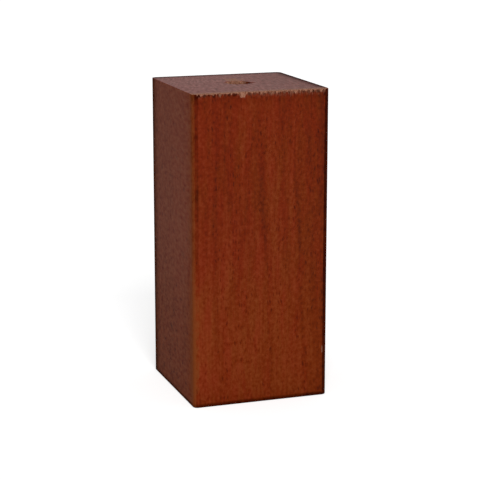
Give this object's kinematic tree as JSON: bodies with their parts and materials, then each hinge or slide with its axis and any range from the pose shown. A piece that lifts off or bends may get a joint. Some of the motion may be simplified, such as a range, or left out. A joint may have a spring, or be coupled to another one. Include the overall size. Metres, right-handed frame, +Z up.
{
  "type": "furniture foot",
  "caption": "Square hardwood furniture foot, stained and lacquered, with a blind pilot bore in its top for a screwed or pegged fixing.",
  "frame": {"origin": "middle of the face that stands on the floor", "axes": "+Z up, along the grain, out of the pilot bore; -Y out of the front face, the one with the torn top edge; +X to its right"},
  "size_m": [0.045, 0.045, 0.1],
  "materials": {
    "stained_wood": "satin lacquer over red-brown stain"
  },
  "bodies": {
    "root": {"foot_block": "stained_wood"}
  },
  "joints": []
}
